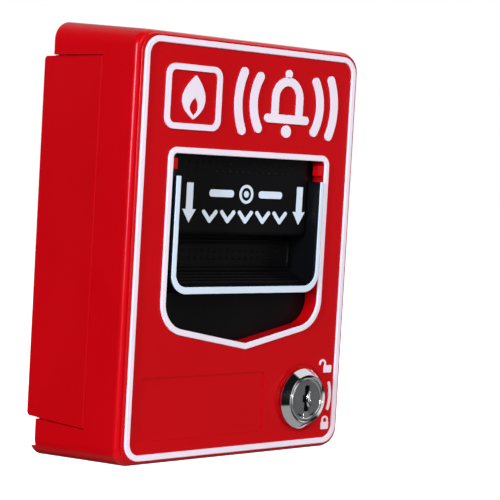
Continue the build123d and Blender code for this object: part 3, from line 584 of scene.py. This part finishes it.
# ---------------------------------------------------------------- beads of the rear box
def box_beads():
    """Low beads along the box's outer edges, which close the seams to the cover's notches."""
    bm = bmesh.new()
    for side in (-1, 1):
        for edge, out in ((BOX_TOP, 1), (BOX_BOTTOM, -1)):
            loops = []
            for depth, share in ((16.2, 0.1), (16.5, 1.0), (36.3, 1.0), (36.6, 0.1)):
                loop = []
                for x, rise in ((39.7, -0.1), (39.7, 0.1), (39.9, 0.2), (40.8, 0.2), (41.0, 0.08), (41.0, -0.1)):
                    rise = rise * share if rise > 0 else rise
                    loop.append(bm.verts.new(place(side * x, depth, edge + out * rise)))
                loops.append(loop)
            for first, second in zip(loops, loops[1:]):
                for index in range(len(first)):
                    after = (index + 1) % len(first)
                    bm.faces.new((first[index], first[after], second[after], second[index]))
            bm.faces.new(loops[0])
            bm.faces.new(loops[-1])
    piece("box_beads", bm, "box", "red_plastic", smooth=30)


# ---------------------------------------------------------------- inside details
def solder_joints():
    bm = bmesh.new()
    for index in range(4):
        x = -12.0 + 5.08 * index
        dome(bm, x, BOARD_BACK - 1.6, 8.2, 1.15, 0.55, 16)
    for x in (-1.2, 9.2):
        dome(bm, x, BOARD_BACK - 1.6, -8.0, 0.8, 0.5, 16)
    piece("solder_joints", bm, "cover", "steel", smooth=70)


def switch_details():
    low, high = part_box("micro_switch")
    bm = bmesh.new()
    x = low[0] / MM
    rail_z = (high[2] / MM) - 2.2
    for depth in (11.0, 27.4):
        loops = []
        for radius, dx in ((0.9, 0.0), (0.9, -0.14), (0.75, -0.2), (0.0, -0.2)):
            ring = []
            for index in range(20 if radius else 1):
                turn = 2 * math.pi * index / 20
                ring.append(bm.verts.new(place(x + dx, depth + radius * math.cos(turn), rail_z + radius * math.sin(turn))))
            loops.append(ring)
        for first, second in zip(loops, loops[1:]):
            for index in range(20):
                after = (index + 1) % 20
                if len(second) == 1:
                    bm.faces.new((first[index], first[after], second[0]))
                else:
                    bm.faces.new((first[index], first[after], second[after], second[index]))
        bm.faces.new(loops[0])
    piece("switch_rivets", bm, "cover", "steel", smooth=50)


lock_body()
plug_details()
handle_band()
scoop_panel()
scoop_floor()
box_beads()
bar_dots()
solder_joints()
switch_details()


# ---------------------------------------------------------------- floor, light and camera
FLOOR_Z = -0.14
CAMERA_PLACE = (-0.3196, -0.3801, 0.0251)
CAMERA_TURN = (86.94, -3.29, -43.22)
LENS = 122.8


def floor():
    """A pale floor, lit evenly enough to run into the white of the studio."""
    mesh = bpy.data.meshes.new("floor")
    bm = bmesh.new()
    bmesh.ops.create_grid(bm, x_segments=8, y_segments=8, size=6.0)
    bm.to_mesh(mesh)
    bm.free()
    obj = bpy.data.objects.new("floor", mesh)
    obj.location.z = FLOOR_Z
    obj.visible_glossy = False
    obj.visible_diffuse = False
    bpy.context.collection.objects.link(obj)
    shader = Shader("pale_floor").set(Roughness=0.8, Specular_IOR_Level=0.1, Emission_Strength=0.75)
    tone = shader.spread(shader.noise(3.0, 3.0), 0.3, 0.7)
    shade = shader.mix(tone, grey(0.90), grey(0.93))
    shader.link(shade, "Base Color").link(shade, "Emission Color")
    obj.data.materials.append(shader.material)


class Studio:
    """White where the camera looks past the object, and soft lights on grey all around it."""

    def __init__(self):
        self.world = bpy.data.worlds.new("studio")
        self.world.use_nodes = True
        self.tree = self.world.node_tree
        self.direction = self.tree.nodes.new("ShaderNodeTexCoord").outputs["Generated"]

    def node(self, kind, *inputs, **settings):
        node = self.tree.nodes.new("ShaderNode" + kind)
        for key, value in settings.items():
            setattr(node, key, value)
        for index, value in enumerate(inputs):
            if isinstance(value, bpy.types.NodeSocket):
                self.tree.links.new(value, node.inputs[index])
            else:
                node.inputs[index].default_value = value
        return node

    def patch(self, direction, wide, soft, level):
        """A round soft light, wide degrees across its middle and soft degrees more at its rim."""
        unit = Vector(direction).normalized()
        near = self.node("VectorMath", self.direction, tuple(unit), operation="DOT_PRODUCT")
        edge = math.cos(math.radians(wide + soft))
        middle = math.cos(math.radians(wide))
        patch = self.node("MapRange", near.outputs["Value"], edge, middle, 0.0, level)
        patch.interpolation_type = "SMOOTHSTEP"
        return patch.outputs[0]

    def build(self, base, patches):
        total = base
        for settings in patches:
            total = self.node("Math", total, self.patch(*settings), operation="ADD").outputs[0]
        seen = self.node("LightPath").outputs["Is Camera Ray"]
        strength = self.node("Math", total, seen, operation="MAXIMUM")
        self.tree.links.new(strength.outputs[0], self.tree.nodes["Background"].inputs["Strength"])
        self.tree.nodes["Background"].inputs["Color"].default_value = (1, 1, 1, 1)
        bpy.context.scene.world = self.world


def lamp(name, energy, spot, size, target=(0, -0.02, 0), mirrored=True, colour=(1, 1, 1)):
    """A soft rectangle of light; one that isn't mirrored leaves no spot on shiny pieces."""
    light = bpy.data.lights.new(name, "AREA")
    light.energy = energy
    light.color = colour
    light.shape = "RECTANGLE"
    light.size, light.size_y = size
    obj = bpy.data.objects.new(name, light)
    obj.location = spot
    obj.rotation_euler = (Vector(target) - Vector(spot)).to_track_quat("-Z", "Y").to_euler()
    obj.visible_glossy = mirrored
    bpy.context.collection.objects.link(obj)


def camera():
    data = bpy.data.cameras.new("camera")
    data.lens = LENS
    data.sensor_width = 36.0
    obj = bpy.data.objects.new("camera", data)
    obj.location = CAMERA_PLACE
    obj.rotation_euler = [math.radians(angle) for angle in CAMERA_TURN]
    bpy.context.collection.objects.link(obj)
    bpy.context.scene.camera = obj


floor()
Studio().build(0.007, (
    ((0.62, 0.10, 0.78), 36, 5, 0.85),
    ((0.75, -0.66, 0.05), 14, 22, 0.19),
    ((-0.20, -0.12, -0.97), 49, 5, 0.36),
    ((-0.855, -0.445, 0.265), 0.6, 1.2, 1.6),
    ((-0.800, -0.440, 0.410), 0.5, 1.0, 1.2),
    ((0.35, 0.78, 0.50), 22, 20, 0.32),
    ((0.78, 0.55, -0.28), 14, 14, 0.5),
    ((-0.15, -0.75, 0.62), 11, 9, 0.9),
    ((-0.18, -0.97, 0.12), 20, 12, 0.8),
))
lamp("key", 22.6, (-0.85, -1.40, 0.72), (0.6, 1.1), mirrored=False)
lamp("edge_strip", 16.2, (-1.42, -0.30, 0.26), (0.08, 0.50), colour=(0.78, 1.0, 1.2))
lamp("low_strip", 1.3, (-0.62, -1.40, 0.10), (0.10, 0.30))
lamp("back", 9.0, (0.15, 1.50, 0.35), (0.9, 0.9))
camera()
bpy.context.scene.view_settings.view_transform = "Standard"
